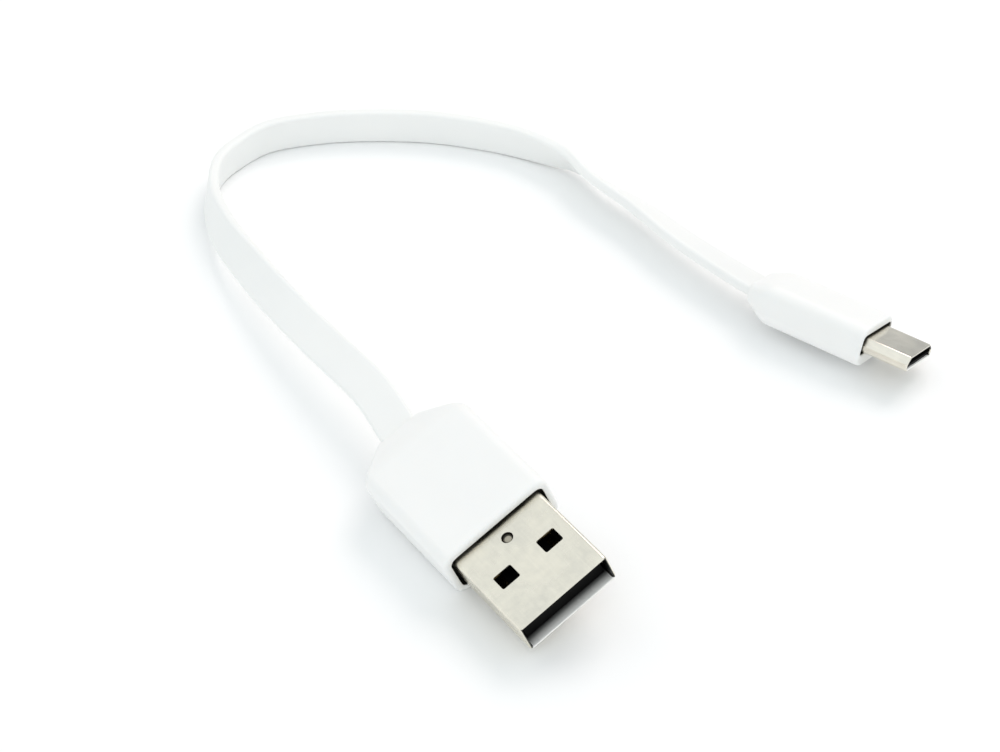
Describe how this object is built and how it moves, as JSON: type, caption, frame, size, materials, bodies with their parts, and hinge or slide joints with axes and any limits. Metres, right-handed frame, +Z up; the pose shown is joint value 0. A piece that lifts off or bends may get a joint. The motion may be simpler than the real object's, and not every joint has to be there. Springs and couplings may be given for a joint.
{
  "type": "charging cable",
  "caption": "Short flat charging and data cable with a large rectangular plug on one end and a small trapezoid plug on the other.",
  "frame": {"origin": "on the floor, at the middle of the base of the box round the two plugs", "axes": "-Y out of the large plug's mouth, +Z up from the floor the cable lies on, +X from the large plug towards the small plug"},
  "size_m": [0.0682, 0.0905, 0.011],
  "materials": {
    "plated_steel": "bright nickel plated",
    "black_plastic": "moulded black",
    "gold_plate": "thin gold plate",
    "solder": "reflowed solder",
    "clear_white_plastic": "milky moulded",
    "white_cover": "soft satin",
    "white_jacket": "soft satin",
    "red_insulation": "extruded",
    "white_insulation": "extruded",
    "green_insulation": "extruded",
    "black_insulation": "extruded",
    "copper": "stranded copper drawn as one rod"
  },
  "bodies": {
    "cable": {"usb_a_shell": "plated_steel", "usb_a_insulator": "black_plastic", "usb_a_vbus_contact": "gold_plate", "usb_a_d_minus_contact": "gold_plate", "usb_a_d_plus_contact": "gold_plate", "usb_a_ground_contact": "gold_plate", "usb_a_solder_joints": "solder", "usb_a_inner_mould": "clear_white_plastic", "usb_a_overmould": "white_cover", "micro_b_shell": "plated_steel", "micro_b_insulator": "black_plastic", "micro_b_contact_tails": "gold_plate", "micro_b_latch_bases": "plated_steel", "micro_b_solder_joints": "solder", "micro_b_inner_mould": "clear_white_plastic", "micro_b_overmould": "white_cover", "ribbon_jacket": "white_jacket", "red_wire_insulation": "red_insulation", "white_wire_insulation": "white_insulation", "green_wire_insulation": "green_insulation", "black_wire_insulation": "black_insulation", "vbus_conductor": "copper", "d_minus_conductor": "copper", "d_plus_conductor": "copper", "ground_conductor": "copper"},
    "micro_b_vbus_spring_arm": {"micro_b_vbus_spring": "gold_plate"},
    "micro_b_d_minus_spring_arm": {"micro_b_d_minus_spring": "gold_plate"},
    "micro_b_d_plus_spring_arm": {"micro_b_d_plus_spring": "gold_plate"},
    "micro_b_id_spring_arm": {"micro_b_id_spring": "gold_plate"},
    "micro_b_ground_spring_arm": {"micro_b_ground_spring": "gold_plate"},
    "micro_b_left_latch_arm": {"micro_b_left_latch": "plated_steel"},
    "micro_b_right_latch_arm": {"micro_b_right_latch": "plated_steel"}
  },
  "joints": [
    {"name": "micro_b_vbus_spring_flex", "type": "hinge", "parent": "cable", "child": "micro_b_vbus_spring_arm", "pos_m": [0.02808, -0.00272, 0.00367], "axis": [0.8967, 0.3, -0.3256], "range_deg": [0, 2], "stiffness_Nm_per_rad": 0.06},
    {"name": "micro_b_d_minus_spring_flex", "type": "hinge", "parent": "cable", "child": "micro_b_d_minus_spring_arm", "pos_m": [0.02866, -0.00253, 0.00346], "axis": [0.8967, 0.3, -0.3256], "range_deg": [0, 2], "stiffness_Nm_per_rad": 0.06},
    {"name": "micro_b_d_plus_spring_flex", "type": "hinge", "parent": "cable", "child": "micro_b_d_plus_spring_arm", "pos_m": [0.02924, -0.00233, 0.00325], "axis": [0.8967, 0.3, -0.3256], "range_deg": [0, 2], "stiffness_Nm_per_rad": 0.06},
    {"name": "micro_b_id_spring_flex", "type": "hinge", "parent": "cable", "child": "micro_b_id_spring_arm", "pos_m": [0.02982, -0.00214, 0.00304], "axis": [0.8967, 0.3, -0.3256], "range_deg": [0, 2], "stiffness_Nm_per_rad": 0.06},
    {"name": "micro_b_ground_spring_flex", "type": "hinge", "parent": "cable", "child": "micro_b_ground_spring_arm", "pos_m": [0.03041, -0.00194, 0.00282], "axis": [0.8967, 0.3, -0.3256], "range_deg": [0, 2], "stiffness_Nm_per_rad": 0.06},
    {"name": "micro_b_left_latch_press", "type": "hinge", "parent": "cable", "child": "micro_b_left_latch_arm", "pos_m": [0.02727, -0.00299, 0.00383], "axis": [-0.8967, -0.3, 0.3256], "range_deg": [0, 3.5], "stiffness_Nm_per_rad": 0.07},
    {"name": "micro_b_right_latch_press", "type": "hinge", "parent": "cable", "child": "micro_b_right_latch_arm", "pos_m": [0.03113, -0.0017, 0.00243], "axis": [-0.8967, -0.3, 0.3256], "range_deg": [0, 3.5], "stiffness_Nm_per_rad": 0.07}
  ]
}
